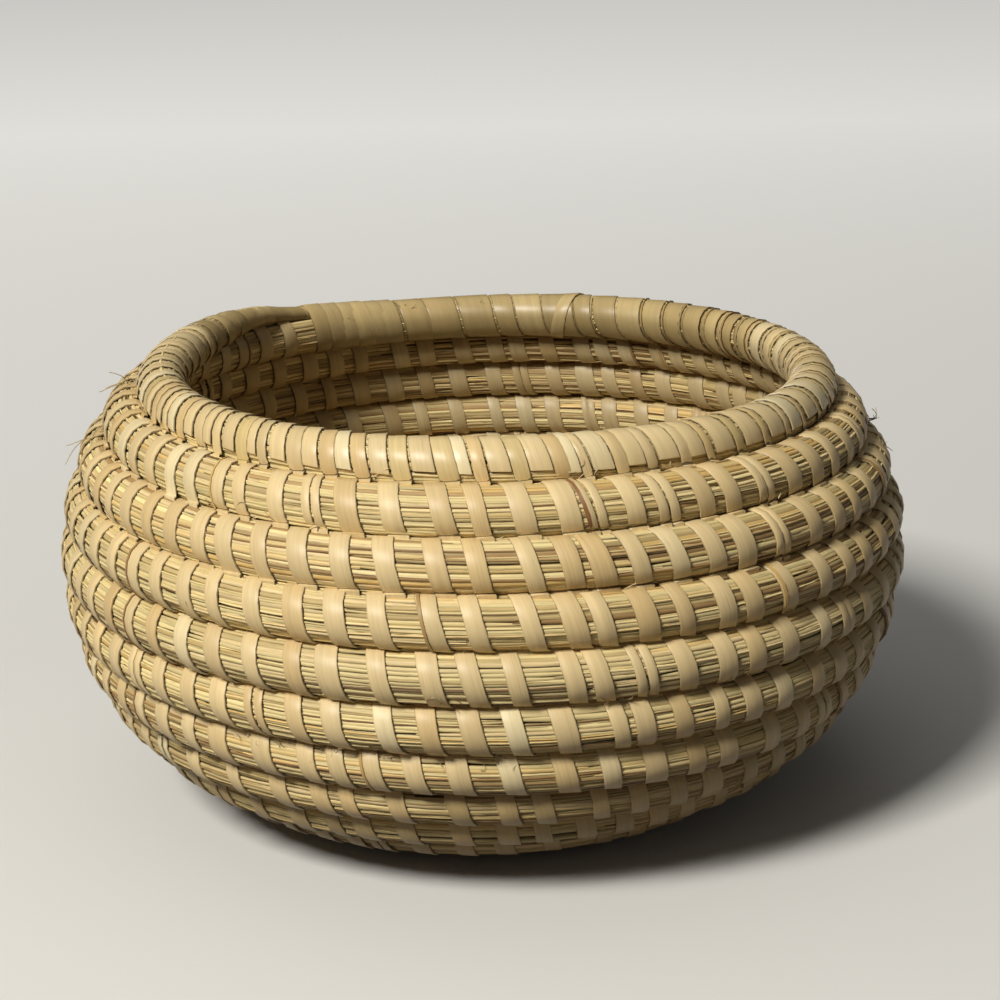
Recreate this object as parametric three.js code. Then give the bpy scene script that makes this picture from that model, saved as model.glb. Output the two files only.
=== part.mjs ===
// A coiled basket. One bundle of needles is wound from the middle of the base, up over the belly and in to
// the rim, and flat leaf splints sew each round of it to the last.
// Millimetres, +Z up. The origin is on the floor under the middle of the basket, and -Y is the front.
import * as THREE from 'three';

// Needle bundle
const COIL_DIAMETER = 11.8; // across the sides that face the next rounds
const COIL_START_HOLE = 4; // left open in the middle of the base
const TAIL_LENGTH = 75; // the bundle thins out over this length before it ends
const TAIL_DIAMETER = 3.4; // where it ends
const COIL_END_AZIMUTH = THREE.MathUtils.degToRad(127); // the end lies at the back left

// Leaf splints
const SPLINT_THICKNESS = 0.65;
const SPLINT_WIDTH = 4.6;
const SEAT_CLEARANCE = 0.1; // between a splint and the coil under it
const ROUND_CLEARANCE = 0.3; // between the splints of two rounds
const SPLINT_ARC = 0.2; // widest arc of a tight round that a flat splint takes, in radians
const STITCH_SPACING = 24.6; // along the coil
const BASE_STITCH_SPACING = 13;
const STITCH_LEAN = 6; // how far a stitch leans along the coil as it crosses its face
const RIM_WRAP_SPACING = 8.2;
const RIM_WRAP_SLIT = 1.6; // between two wraps of the rim
const BINDING_SPACING = 5.5;
const BINDING_SLIT = 1.2;
const BINDING_WRAPS = 4;

// Wall, as the line that the coil's centre follows
const BASE_RADIUS = 49.5; // flat part of the base
const LOWER_ARC_RADIUS = 64; // from the base out to the belly
const UPPER_ARC_RADIUS = 62; // from the belly in to the rim
const RIM_TURN = THREE.MathUtils.degToRad(55); // how far the upper arc turns in

// Fineness
const STEPS_PER_ROUND = 24;
const LEAST_BEND_SHARE = 0.1; // a splint doesn't bend again as near as this to a corner of the coil

// Worked out from the sizes above
const COIL_RADIUS = COIL_DIAMETER / 2;
const SPLINT_OFFSET = SEAT_CLEARANCE + SPLINT_THICKNESS; // from the coil to a splint's outer face
const COIL_PITCH = COIL_DIAMETER + 2 * SPLINT_OFFSET + ROUND_CLEARANCE; // two splints pass between rounds
const BASE_HEIGHT = COIL_RADIUS + SPLINT_OFFSET; // coil's centre over the floor, so that stitches touch it
const LOWER_ARC_LENGTH = LOWER_ARC_RADIUS * Math.PI / 2;
const BELLY_RADIUS = BASE_RADIUS + LOWER_ARC_RADIUS;
const WALL_START = COIL_RADIUS + COIL_START_HOLE / 2;
const WALL_END = BASE_RADIUS + LOWER_ARC_LENGTH + UPPER_ARC_RADIUS * RIM_TURN;
const ROUNDS = (WALL_END - WALL_START) / COIL_PITCH;
const ROUND_COUNT = Math.round(ROUNDS);
const RIM_START = ROUNDS - 1; // the last round is the rim
const BASE_ROUNDS = Math.ceil((BASE_RADIUS - WALL_START) / COIL_PITCH);

// Section of the bundle, as corners across the wall (u, to the next round) and out of it (v). The outer
// face is half an octagon, and the inner face is narrower, so that grooves show between the rounds there.
const OCTAGON_SHARE = Math.tan(Math.PI / 8);
const INNER_FACE_SHARE = 0.6;
const INNER_DEPTH_SHARE = 0.95;
const SECTION = [
  [-1, OCTAGON_SHARE],
  [-OCTAGON_SHARE, 1],
  [OCTAGON_SHARE, 1],
  [1, OCTAGON_SHARE],
  [INNER_FACE_SHARE, -INNER_DEPTH_SHARE],
  [-INNER_FACE_SHARE, -INNER_DEPTH_SHARE],
].map(([u, v]) => new THREE.Vector2(u, v));
const OUTER_FACE_EDGES = SECTION.filter((corner) => corner.y > 0).length - 1; // from its first corner on

// Point of the wall line at a distance along it from the middle of the base, and its slope there.
function wallPoint(distance) {
  const lowerTurn = (distance - BASE_RADIUS) / LOWER_ARC_RADIUS;
  const upperTurn = (distance - BASE_RADIUS - LOWER_ARC_LENGTH) / UPPER_ARC_RADIUS;
  if (lowerTurn <= 0) {
    return { radius: distance, height: BASE_HEIGHT, slope: 0 };
  }
  if (upperTurn <= 0) {
    return {
      radius: BASE_RADIUS + LOWER_ARC_RADIUS * Math.sin(lowerTurn),
      height: BASE_HEIGHT + LOWER_ARC_RADIUS * (1 - Math.cos(lowerTurn)),
      slope: lowerTurn,
    };
  }
  return {
    radius: BELLY_RADIUS - UPPER_ARC_RADIUS * (1 - Math.cos(upperTurn)),
    height: BASE_HEIGHT + LOWER_ARC_RADIUS + UPPER_ARC_RADIUS * Math.sin(upperTurn),
    slope: Math.PI / 2 + upperTurn,
  };
}

// Radius of the bundle at a turn of the coil, counted from its start in rounds.
const RIM_RADIUS = wallPoint(WALL_END).radius;
const TAIL_ROUNDS = TAIL_LENGTH / (2 * Math.PI * RIM_RADIUS);
function bundleRadius(turn) {
  const tail = THREE.MathUtils.smoothstep(turn, ROUNDS - TAIL_ROUNDS, ROUNDS);
  return THREE.MathUtils.lerp(COIL_RADIUS, TAIL_DIAMETER / 2, tail);
}

// Station of the coil: its centre, its bundle's radius, and the axes u and v of its section. The coil
// climbs clockwise as seen from above. The thinned end keeps its seat on the round under it, and its outer
// face stays level with the rim's.
function coilStation(turn) {
  const bundle = bundleRadius(turn);
  const thinning = COIL_RADIUS - bundle;
  const wall = wallPoint(WALL_START + COIL_PITCH * turn - thinning);
  const azimuth = COIL_END_AZIMUTH + 2 * Math.PI * (ROUNDS - turn);
  const outward = new THREE.Vector3(Math.cos(azimuth), Math.sin(azimuth), 0);
  const up = new THREE.Vector3(0, 0, 1);
  const u = outward.clone().multiplyScalar(Math.cos(wall.slope)).addScaledVector(up, Math.sin(wall.slope));
  const v = outward.clone().multiplyScalar(Math.sin(wall.slope)).addScaledVector(up, -Math.cos(wall.slope));
  const centre = outward.clone().multiplyScalar(wall.radius).addScaledVector(up, wall.height);
  return { turn, bundle, radius: wall.radius, centre: centre.addScaledVector(v, thinning), u, v };
}

const STATIONS = [];
for (let step = 0; step < ROUNDS * STEPS_PER_ROUND; step += 1) {
  STATIONS.push(coilStation(step / STEPS_PER_ROUND));
}
STATIONS.push(coilStation(ROUNDS));

// A corner of the section, set out from the bundle by an offset along both of its edges.
function sectionCorner(corner, bundle, offset) {
  const count = SECTION.length;
  const here = SECTION[corner % count];
  const before = SECTION[(corner + count - 1) % count];
  const after = SECTION[(corner + 1) % count];
  const normal = (from, to) => new THREE.Vector2(from.y - to.y, to.x - from.x).normalize();
  const first = normal(before, here);
  const second = normal(here, after);
  const miter = first.clone().add(second).divideScalar(1 + first.dot(second));
  return here.clone().multiplyScalar(bundle).addScaledVector(miter, offset);
}

function stationPoint(station, corner, offset) {
  const place = sectionCorner(corner, station.bundle, offset);
  return station.centre.clone().addScaledVector(station.u, place.x).addScaledVector(station.v, place.y);
}

// Point over a corner of the coil at any turn. It lies on the straight runs between stations, as the
// faces of the coil do.
function coilPoint(turn, corner, offset) {
  const index = Math.min(Math.floor(turn * STEPS_PER_ROUND), STATIONS.length - 2);
  const from = STATIONS[index];
  const to = STATIONS[index + 1];
  const share = (turn - from.turn) / (to.turn - from.turn);
  return stationPoint(from, corner, offset).lerp(stationPoint(to, corner, offset), share);
}

// Turns at which a round starts and ends. Rounds are counted back from the rim, so the first may be short.
function roundSpan(round) {
  const to = ROUNDS - (ROUND_COUNT - 1 - round);
  return { from: round > 0 ? to - 1 : 0, to };
}

// Closed tube through rings of points, with flat ends and its faces pointing out.
function closedTube(rings) {
  const sides = rings[0].length;
  const points = rings.flat();
  const faces = [];
  for (let ring = 0; ring + 1 < rings.length; ring += 1) {
    for (let side = 0; side < sides; side += 1) {
      const a = ring * sides + side;
      const b = ring * sides + (side + 1) % sides;
      faces.push([a, b, b + sides], [a, b + sides, a + sides]);
    }
  }
  const last = (rings.length - 1) * sides;
  for (let side = 1; side + 1 < sides; side += 1) {
    faces.push([0, side + 1, side], [last, last + side, last + side + 1]);
  }
  const volume = faces.reduce((sum, [a, b, c]) => sum + points[a].dot(points[b].clone().cross(points[c])), 0);
  const outward = volume > 0 ? faces : faces.map(([a, b, c]) => [a, c, b]);
  const geometry = new THREE.BufferGeometry().setFromPoints(points);
  geometry.setIndex(outward.flat());
  geometry.computeVertexNormals();
  return geometry;
}

// Least distance between two turns of a winding, measured on the points of its rings and on those halfway
// between them. Rings less than half a turn apart count as one turn.
function leastGap(rings, ringsPerTurn) {
  const samples = rings.map((ring, index) => {
    const next = rings[Math.min(index + 1, rings.length - 1)];
    return ring.concat(ring.map((point, side) => point.clone().lerp(next[side], 1 / 2)));
  });
  let least = Infinity;
  samples.forEach((ring, index) => {
    for (const other of samples.slice(index + Math.ceil(ringsPerTurn / 2))) {
      for (const point of ring) {
        for (const far of other) {
          least = Math.min(least, point.distanceToSquared(far));
        }
      }
    }
  });
  return Math.sqrt(least);
}

function windingMesh(name, rings, ringsPerTurn, material) {
  console.log(`${name}: least gap to itself ${leastGap(rings, ringsPerTurn).toFixed(2)} mm`);
  const mesh = new THREE.Mesh(closedTube(rings), material);
  mesh.name = name;
  return mesh;
}

// Ring of a splint at a turn of the coil, part of the way from one corner of the section to the next. The
// splint is flat outside, and thins to both its edges.
function splintRing(turn, half, corner, share) {
  const over = (place, offset) => {
    const next = coilPoint(place, corner + 1, offset);
    return coilPoint(place, corner, offset).lerp(next, share);
  };
  return [
    over(turn - half, SPLINT_OFFSET),
    over(turn + half, SPLINT_OFFSET),
    over(turn, SEAT_CLEARANCE),
  ];
}

// Splint wound about the coil from one turn of it to another. Each wrap crosses the outer face upward and
// the inner face downward, leaning forward by the lean each time, and what is left of the spacing it runs
// between the rounds. It bends where the coil does, and gets narrower where the round is tight.
function splintRings({ from, to, spacing, width, lean, wraps = Infinity }) {
  const rings = [];
  const sideShare = (spacing - 2 * lean) / 2;
  const advances = [...Array(OUTER_FACE_EDGES).fill(lean / OUTER_FACE_EDGES), sideShare, lean, sideShare];
  let turn = from;
  for (let wrap = 0; wrap < wraps; wrap += 1) {
    const { radius } = coilStation(turn);
    const perLength = Math.min(1, SPLINT_ARC * radius / width) / (2 * Math.PI * radius);
    const half = perLength * width / 2;
    if (turn + perLength * (spacing + width) > to) {
      break;
    }
    let place = turn + half;
    for (let corner = 0; corner < SECTION.length; corner += 1) {
      const next = place + perLength * advances[corner];
      rings.push(splintRing(place, half, corner, 0));
      const bend = Math.ceil(place * STEPS_PER_ROUND) / STEPS_PER_ROUND;
      const share = (bend - place) / (next - place);
      if (share > LEAST_BEND_SHARE && share < 1 - LEAST_BEND_SHARE) {
        rings.push(splintRing(bend, half, corner, share));
      }
      place = next;
    }
    turn += perLength * spacing;
  }
  return rings;
}

const needles = new THREE.MeshStandardMaterial({ color: 0xa98f5c, roughness: 0.8, metalness: 0 });
const leaf = new THREE.MeshStandardMaterial({ color: 0xcdb98a, roughness: 0.55, metalness: 0 });
const rimLeaf = new THREE.MeshStandardMaterial({ color: 0xc9b382, roughness: 0.45, metalness: 0 });

const basket = new THREE.Group();

function roundName(kind, round) {
  return `${kind}_${String(round + 1).padStart(2, '0')}`;
}

// The bundle, cut across between two rounds, where the next splint is let in.
function addNeedleRounds() {
  const turns = STATIONS.map((station) => station.turn);
  const leastStep = LEAST_BEND_SHARE / STEPS_PER_ROUND;
  for (let round = 0; round < ROUND_COUNT; round += 1) {
    const { from, to } = roundSpan(round);
    const bends = turns.filter((turn) => turn > from + leastStep && turn < to - leastStep);
    const rings = [from, ...bends, to].map((turn) => SECTION.map((_, corner) => coilPoint(turn, corner, 0)));
    basket.add(windingMesh(roundName('coil_round', round), rings, STEPS_PER_ROUND, needles));
  }
}

function addSplint(name, winding, material) {
  basket.add(windingMesh(name, splintRings(winding), SECTION.length, material));
}

function addStitching() {
  const baseStitch = { spacing: BASE_STITCH_SPACING, width: SPLINT_WIDTH, lean: BASE_STITCH_SPACING / 3 };
  const wallStitch = { spacing: STITCH_SPACING, width: SPLINT_WIDTH, lean: STITCH_LEAN };
  for (let round = 0; round < ROUND_COUNT - 1; round += 1) {
    const onBase = round < BASE_ROUNDS;
    const name = onBase ? roundName('base_splint', round) : roundName('wall_splint', round - BASE_ROUNDS);
    addSplint(name, { ...roundSpan(round), ...(onBase ? baseStitch : wallStitch) }, leaf);
  }
}

function addRim() {
  const bindingLength = BINDING_SPACING * (BINDING_WRAPS + 1);
  const bindingEnd = RIM_START + bindingLength / (2 * Math.PI * coilStation(RIM_START).radius);
  addSplint('end_binding', {
    from: RIM_START,
    to: bindingEnd,
    spacing: BINDING_SPACING,
    width: BINDING_SPACING - BINDING_SLIT,
    lean: BINDING_SPACING / 3,
    wraps: BINDING_WRAPS,
  }, rimLeaf);
  addSplint('rim_wrap', {
    from: bindingEnd,
    to: ROUNDS,
    spacing: RIM_WRAP_SPACING,
    width: RIM_WRAP_SPACING - RIM_WRAP_SLIT,
    lean: RIM_WRAP_SPACING / 3,
  }, rimLeaf);
}

addNeedleRounds();
addStitching();
addRim();

export default basket;
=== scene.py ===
"""Looks of a coiled pine needle basket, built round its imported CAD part.

A needle and a splint are each modelled once, as a straight blank. Copies of them are bent round the coil:
each vertex gets a turn of the coil, an angle about its bundle and a lift off the bundle.
Sizes are in millimetres unless a name says otherwise. Meshes are written in metres, in the part's frame.
"""

import logging
import math
from collections.abc import Mapping, Sequence
from dataclasses import dataclass, field, replace
from enum import Enum
from functools import cached_property

import bpy
import numpy as np
from mathutils import Matrix, Vector


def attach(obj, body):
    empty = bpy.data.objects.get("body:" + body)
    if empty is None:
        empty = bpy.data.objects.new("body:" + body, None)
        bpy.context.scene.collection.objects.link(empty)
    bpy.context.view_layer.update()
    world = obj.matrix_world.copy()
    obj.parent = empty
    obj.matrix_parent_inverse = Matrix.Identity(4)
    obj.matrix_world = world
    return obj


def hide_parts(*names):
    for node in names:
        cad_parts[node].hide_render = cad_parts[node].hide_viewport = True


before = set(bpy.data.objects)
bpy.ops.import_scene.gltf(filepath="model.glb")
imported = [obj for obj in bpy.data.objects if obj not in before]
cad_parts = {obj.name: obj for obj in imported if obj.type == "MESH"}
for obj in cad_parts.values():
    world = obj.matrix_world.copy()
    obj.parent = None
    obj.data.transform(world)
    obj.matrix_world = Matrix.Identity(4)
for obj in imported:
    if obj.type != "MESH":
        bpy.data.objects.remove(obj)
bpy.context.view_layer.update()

MM = 0.001
CIRCLE = 2 * math.pi
SEED = 41
LOG = logging.getLogger("basket")

SCREEN_WHITE = 255
SCREEN_KNEE = 0.04045  # below it a screen's curve is straight
SCREEN_SLOPE = 12.92
SCREEN_OFFSET = 0.055
SCREEN_POWER = 2.4

Span = tuple[float, float]  # from and to
Triple = tuple[float, float, float]


def linear(red: float, green: float, blue: float) -> np.ndarray:
    """Turns a colour as a screen shows it, 0 to 255, into linear light.

    Args:
        red: the red part.
        green: the green part.
        blue: the blue part.

    Returns:
        The three parts, 0 to 1.
    """
    share = np.array([red, green, blue]) / SCREEN_WHITE
    curve = ((share + SCREEN_OFFSET) / (1 + SCREEN_OFFSET)) ** SCREEN_POWER
    return np.where(share <= SCREEN_KNEE, share / SCREEN_SLOPE, curve)


def opaque(colour: Triple) -> tuple[float, ...]:
    """A colour as a screen shows it, made ready for a node's input."""
    return (*linear(*colour), 1.0)


def smoothstep(low: float, high: float, value: np.ndarray) -> np.ndarray:
    """Rises smoothly from 0 at low to 1 at high."""
    share = np.clip((value - low) / (high - low), 0, 1)
    return share * share * (3 - 2 * share)


def deselect() -> None:
    """Leaves nothing selected, so that the next operator works on its own object alone."""
    bpy.ops.object.select_all(action="DESELECT")


def link_active(piece: bpy.types.Object) -> None:
    """Links a new piece and makes it the one that the next operator works on.

    Args:
        piece: the new piece.
    """
    bpy.context.scene.collection.objects.link(piece)
    deselect()
    piece.select_set(True)
    bpy.context.view_layer.objects.active = piece


@dataclass(frozen=True)
class Wave:
    """A slow unevenness of the handwork, round the basket."""

    height: float
    count: int  # of waves in a round
    shift: float  # from round to round, in radians

    def at(self, azimuth: np.ndarray, turn: np.ndarray) -> np.ndarray:
        """Height of the wave at a place on the coil."""
        return self.height * np.sin(self.count * azimuth + self.shift * turn)


@dataclass(frozen=True)
class CoilLine:
    """The line that the bundle follows, and places on the bundle.

    Turns count rounds from the middle of the base. Angles go about the bundle: 0 faces out of the wall, 90
    degrees the next round, 180 the inside and -90 the round before.
    """

    bundle_radius: float = 5.9
    squeeze: float = 0.13  # how much the bundle spreads towards the rounds beside it
    squeeze_start: Span = (0.8, 1.0)  # turns over which it starts to spread towards the round before
    squeeze_fade: float = 0.04  # of a turn, over which the rim stops spreading upwards
    pitch: float = 13.6
    start: float = 7.9
    heart: float = -0.93  # turn at which the bundle starts, as a thin end wound about the basket's axis
    base_radius: float = 49.5
    base_height: float = 6.65
    lower_arc: float = 64.0
    upper_arc: float = 62.0
    rim_turn: float = math.radians(55)
    end_azimuth: float = math.radians(127)
    tail_length: float = 75.0
    tail_radius: float = 1.7
    tail_fullness: float = 1.4  # more than 1 keeps the thin end thicker for longer
    tip_fall: float = 3.5  # of the thin end, down onto the rim's start
    tip_length: float = 24.0  # over which it comes down
    tip_under: float = 4.4  # of that, past the coil's end, under the binding
    tip_tuck: float = 0.32  # how far the tip is drawn in from the rim's outer face
    unevenness: float = 0.28  # of the handwork, away from the base
    uneven_start: Span = (4.0, 6.0)  # turns over which it sets in
    sways: tuple[Wave, ...] = (Wave(1.0, 2, 0.2), Wave(0.6, 5, -0.3))  # up and down the wall
    swell: Wave = Wave(1.0, 3, 1.3)  # out of the wall

    @cached_property
    def belly(self) -> float:
        """Distance along the wall line at which it is widest."""
        return self.base_radius + self.lower_arc * math.pi / 2

    @cached_property
    def rounds(self) -> float:
        """Turn at which the coil ends."""
        return (self.belly + self.upper_arc * self.rim_turn - self.start) / self.pitch

    @cached_property
    def round_count(self) -> int:
        """Number of rounds, the short first one included."""
        return round(self.rounds)

    @property
    def rim_start(self) -> float:
        """Turn at which the last round, the rim, starts."""
        return self.rounds - 1

    @cached_property
    def belly_turn(self) -> float:
        """Turn at which the wall is widest."""
        return (self.belly - self.start) / self.pitch

    @cached_property
    def tail_turns(self) -> float:
        """Share of a round over which the bundle thins out."""
        rim_radius = self.wall(np.array(self.belly + self.upper_arc * self.rim_turn))[0]
        return self.tail_length / (CIRCLE * float(rim_radius))

    def wall(self, distance: np.ndarray) -> tuple[np.ndarray, np.ndarray, np.ndarray]:
        """The wall line: a flat base, a lower arc out to the belly and an upper arc in to the rim.

        Args:
            distance: distance along the line, from the middle of the base.

        Returns:
            Its radius, height and slope there.
        """
        lower = np.clip((distance - self.base_radius) / self.lower_arc, 0, math.pi / 2)
        upper = np.maximum((distance - self.belly) / self.upper_arc, 0)
        flat = np.minimum(distance, self.base_radius)
        radius = flat + self.lower_arc * np.sin(lower) - self.upper_arc * (1 - np.cos(upper))
        height = self.base_height + self.lower_arc * (1 - np.cos(lower)) + self.upper_arc * np.sin(upper)
        return radius, height, lower + upper

    def bundle(self, turn: np.ndarray) -> np.ndarray:
        """Radius of the bundle, which thins out towards both of its ends.

        Args:
            turn: turn of the coil.

        Returns:
            The radius, one for each turn.
        """
        share = np.clip(1 + (turn - self.rounds) / self.tail_turns, 0, 1)
        thin = smoothstep(0, 1, share ** self.tail_fullness)
        body = self.bundle_radius + (self.tail_radius - self.bundle_radius) * thin
        return np.minimum(body, (self.start + self.bundle_radius + self.pitch * turn) / 2)

    def azimuth(self, turn: np.ndarray) -> np.ndarray:
        """Direction of a turn seen from above. The coil climbs clockwise."""
        return self.end_azimuth + CIRCLE * (self.rounds - turn)

    def degrees(self, turn: float) -> float:
        """Direction of a turn seen from above, from 0 to 360 degrees."""
        return math.degrees(self.azimuth(turn)) % 360

    def place(self, turn: np.ndarray, angle: np.ndarray, lift: np.ndarray) -> np.ndarray:
        """Points on the bundle or off it.

        Args:
            turn: turn of the coil.
            angle: angle about the bundle, in radians.
            lift: distance out from the bundle's surface.

        Returns:
            Points in millimetres, one for each entry.
        """
        bundle = self.bundle(turn)
        tip = self.rounds + self.tip_under / self.tail_length * self.tail_turns
        down = smoothstep(tip - self.tip_length / self.tail_length * self.tail_turns, tip, turn)
        azimuth = self.azimuth(turn)
        hand = self.unevenness * smoothstep(*self.uneven_start, turn)
        sway = hand * sum(wave.at(azimuth, turn) for wave in self.sways)
        thinned = np.where(turn < 0, 1, -1) * (self.bundle_radius - bundle)
        along = self.start + self.pitch * turn + thinned - self.tip_fall * down + sway
        radius, height, slope = self.wall(along)
        before = smoothstep(*self.squeeze_start, turn)
        after = 1 - smoothstep(self.rim_start, self.rim_start + self.squeeze_fade, turn)
        spread = self.squeeze * np.where(np.sin(angle) < 0, before, after) * np.sin(angle) ** 2
        reach = bundle * (1 + spread) + lift
        flush = (self.bundle_radius - bundle) * (1 - self.tip_tuck * down)
        across = reach * np.sin(angle)
        out = reach * np.cos(angle) + flush + hand * self.swell.at(azimuth, turn)
        far = radius + across * np.cos(slope) + out * np.sin(slope)
        high = height + across * np.sin(slope) - out * np.cos(slope)
        return np.stack([far * np.cos(azimuth), far * np.sin(azimuth), high], axis=-1)

    def face_radius(self, turn: float) -> float:
        """Distance from the basket's axis to the outer face of a turn."""
        return float(np.hypot(*self.place(np.array(turn), np.array(0.0), np.array(0.0))[:2]))

    def turns_in(self, length: np.ndarray | float, turn: float) -> np.ndarray | float:
        """Share of a round that a length along the outer face takes up, at a turn."""
        return length / (CIRCLE * self.face_radius(turn))

    def round_of(self, turn: float) -> int:
        """Index of the round that a turn is in, from 0. Rounds are counted back from the rim."""
        return int(np.clip(math.floor(turn + self.round_count - self.rounds), 0, self.round_count - 1))


QUAD_CORNERS = 4
CAP_PLACE = 0.01  # share of the texture's length at which a strip's end faces lie
SIDE_MARGIN = 0.03  # share of it that is left for them beside the strip's sides


@dataclass(frozen=True)
class Blank:
    """A straight strip, modelled once, as arrays that copies of it are bent from."""

    station: np.ndarray  # how far along each vertex is, in segments
    across: np.ndarray  # -1 to 1
    height: np.ndarray  # 0 to 1
    loops: np.ndarray
    starts: np.ndarray
    loop_uv: np.ndarray  # share along and share round, for each face corner
    segments: int

    @classmethod
    def modelled(cls, section: Sequence[Span], segments: int) -> "Blank":
        """Models the strip: a filled outline, drawn out segment by segment.

        Args:
            section: corners of the strip's section, as across and height.
            segments: number of segments along the strip.

        Returns:
            The strip as arrays.
        """
        deselect()
        bpy.ops.mesh.primitive_circle_add(vertices=len(section), fill_type="NGON")
        strip = bpy.context.active_object
        for vertex, (across, height) in zip(strip.data.vertices, section):
            vertex.co = (across, 0.0, height)
        bpy.ops.object.mode_set(mode="EDIT")
        bpy.ops.mesh.select_all(action="SELECT")
        for _ in range(segments):
            bpy.ops.mesh.extrude_region_move(TRANSFORM_OT_translate={"value": (0.0, 1.0, 0.0)})
        bpy.ops.mesh.select_all(action="SELECT")
        bpy.ops.mesh.normals_make_consistent(inside=False)
        bpy.ops.object.mode_set(mode="OBJECT")
        mesh = strip.data
        sides, number = len(section), []
        for across, along, height in (vertex.co for vertex in mesh.vertices):
            corner = int(np.argmin([math.hypot(across - a, height - h) for a, h in section]))
            number.append(round(along) * sides + corner)
        faces = []
        for face in mesh.polygons:
            corners = [number[vertex] for vertex in face.vertices]
            first = corners.index(min(corners))
            faces.append(corners[first:] + corners[:first])
        faces.sort()
        bpy.data.objects.remove(strip)
        bpy.data.meshes.remove(mesh)
        outline = np.tile(np.array(section, dtype=np.float32).astype(float), (segments + 1, 1))
        return cls(
            station=np.repeat(np.arange(segments + 1), sides),
            across=outline[:, 0],
            height=outline[:, 1],
            loops=np.concatenate(faces),
            starts=np.cumsum([0] + [len(face) for face in faces[:-1]]),
            loop_uv=cls._unwrapped(faces, sides, segments),
            segments=segments,
        )

    @staticmethod
    def _unwrapped(faces: Sequence[Sequence[int]], sides: int, segments: int) -> np.ndarray:
        """Rolls the strip's sides out flat, with its end faces beyond them.

        Args:
            faces: vertices of each face, counted round each station and then along the strip.
            sides: number of the strip's sides.
            segments: number of segments along it.

        Returns:
            Share along and share round, for each face corner.
        """
        flat = []
        for face in faces:
            corners = [vertex % sides for vertex in face]
            along = [vertex // sides / segments for vertex in face]
            if len(corners) > QUAD_CORNERS:
                cap = CAP_PLACE if along[0] < 0.5 else 1 - CAP_PLACE
                flat += [(cap, (c + 0.5) / sides) for c in corners]
                continue
            last = max(corners) == sides - 1 and min(corners) == 0
            share = [(sides if last and c == 0 else c) / sides for c in corners]
            flat += [(SIDE_MARGIN + (1 - 2 * SIDE_MARGIN) * a, s) for a, s in zip(along, share)]
        return np.array(flat)


@dataclass(frozen=True)
class Bench:
    """What the strips of a sub-assembly are made with."""

    coil: CoilLine  # the line that they are bent about
    blank: Blank
    material: bpy.types.Material
    rng: np.random.Generator  # source of their differences

    @property
    def stations(self) -> int:
        """Number of stations along a strip."""
        return self.blank.segments + 1


class Lie(Enum):
    """How a strip lies on the coil."""

    ALONG = "along the bundle"
    ROUND = "round the bundle"


LEAST_RADIUS = 4.0  # from the basket's axis, for a strip's width to be measured round it


@dataclass
class Strip:
    """One bent copy of a blank, given at its stations."""

    lie: Lie
    turn: np.ndarray
    angle: np.ndarray
    lift: np.ndarray
    width: np.ndarray
    thickness: float
    tint: np.ndarray
    edge_shade: float  # painted shade: how bright the strip's underside edges are painted beside its face
    tilt: float = 0.0  # lift of the edge that faces the coil's start over the strip's middle
    edge_shadow: float = 0.0  # painted shadow line: how much darker the face is painted along that edge, and half as much along the other

    def bent(self, blank: Blank, coil: CoilLine) -> tuple[np.ndarray, np.ndarray]:
        """Bends the strip.

        Args:
            blank: the straight strip.
            coil: the line that it is bent about.

        Returns:
            The vertices in millimetres, and how far along the strip each of them is.
        """
        at = blank.station
        middle = coil.place(self.turn, self.angle, self.lift)
        steps = np.linalg.norm(np.diff(middle, axis=0), axis=1)
        along = np.concatenate([[0.0], np.cumsum(steps)])
        half = blank.across * self.width[at] / 2
        turn, angle = self.turn[at], self.angle[at]
        if self.lie is Lie.ROUND:
            radius = np.maximum(np.hypot(middle[at, 0], middle[at, 1]), LEAST_RADIUS)
            turn = turn + half / (CIRCLE * radius)
        else:
            angle = angle + half / (coil.bundle(turn) + self.lift[at])
        lift = self.lift[at] + blank.height * self.thickness - blank.across * self.tilt
        return coil.place(turn, angle, lift), along[at]


FULL_COLOUR_HEIGHT = 0.75  # share of a strip's thickness at which its own colour is reached; below it, painted shade darkens the colour
EDGE_BAND = (0.88, 0.96)  # shares of the half width between which a face gets its painted shadow line
FAR_EDGE = 0.5  # how dark the painted shadow line along the edge away from the coil's start is, beside the other
PATTERN_LENGTH = 900.0  # of the fibre pattern that strips take their stretches from
GIRTH = 2.6  # of a strip, in widths
CELL_MARGIN = 0.04


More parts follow.
